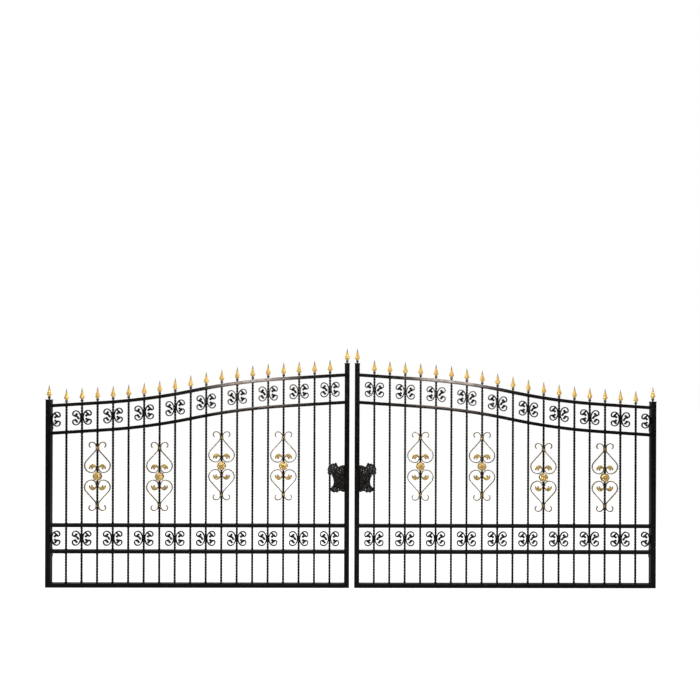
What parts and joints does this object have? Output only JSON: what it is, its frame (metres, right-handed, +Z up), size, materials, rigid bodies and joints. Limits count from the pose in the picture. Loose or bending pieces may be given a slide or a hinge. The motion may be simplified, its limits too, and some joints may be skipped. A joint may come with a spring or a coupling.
{
  "type": "double swing wrought iron driveway gate",
  "caption": "Double-leaf black driveway gate with an arched top, twisted pickets, gold spear points, scrollwork and hinge brackets for two piers.",
  "frame": {"origin": "on the mounting face of the left lower hinge plate, midway between its anchor holes", "axes": "+X along the closed gate from the left pier to the right, +Y into the drive, the way both leaves open, +Z up"},
  "size_m": [4.889, 0.108, 1.9137],
  "materials": {
    "satin_black": "warm near-black satin paint on steel tube and bar",
    "brushed_bronze_black": "black paint with gold brushed over it",
    "antique_gold": "gold paint with darker bronze in the hollows",
    "black_casting": "black painted casting with worn grey high spots",
    "black_hardware": "black painted steel hinge hardware"
  },
  "bodies": {
    "hinge_brackets": {"left_hinge_brackets": "black_hardware", "right_hinge_brackets": "black_hardware"},
    "left_leaf": {"left_arched_second_rail": "satin_black", "left_arched_top_rail": "satin_black", "left_bottom_rail": "satin_black", "left_heart_leaves": "antique_gold", "left_heart_scrolls": "brushed_bronze_black", "left_hinge_eyes": "satin_black", "left_hinge_stile": "satin_black", "left_hinge_stile_cap": "satin_black", "left_latch_stile": "satin_black", "left_latch_stile_cap": "satin_black", "left_lock_plate": "black_casting", "left_lower_mid_rail": "satin_black", "left_lower_scrolls": "satin_black", "left_pickets": "satin_black", "left_rosettes": "antique_gold", "left_spear_points": "antique_gold", "left_upper_mid_rail": "satin_black", "left_upper_scrolls": "satin_black"},
    "right_leaf": {"right_arched_second_rail": "satin_black", "right_arched_top_rail": "satin_black", "right_bottom_rail": "satin_black", "right_heart_leaves": "antique_gold", "right_heart_scrolls": "brushed_bronze_black", "right_hinge_eyes": "satin_black", "right_hinge_stile": "satin_black", "right_hinge_stile_cap": "satin_black", "right_latch_stile": "satin_black", "right_latch_stile_cap": "satin_black", "right_lock_plate": "black_casting", "right_lower_mid_rail": "satin_black", "right_lower_scrolls": "satin_black", "right_pickets": "satin_black", "right_rosettes": "antique_gold", "right_spear_points": "antique_gold", "right_upper_mid_rail": "satin_black", "right_upper_scrolls": "satin_black"}
  },
  "joints": [
    {"name": "left_leaf_swing", "type": "hinge", "parent": "hinge_brackets", "child": "left_leaf", "pos_m": [0.026, -0.027, 0], "axis": [0, 0, 1], "range_deg": [0, 90]},
    {"name": "right_leaf_swing", "type": "hinge", "parent": "hinge_brackets", "child": "right_leaf", "pos_m": [4.863, -0.027, 0], "axis": [0, 0, -1], "range_deg": [0, 90]}
  ]
}
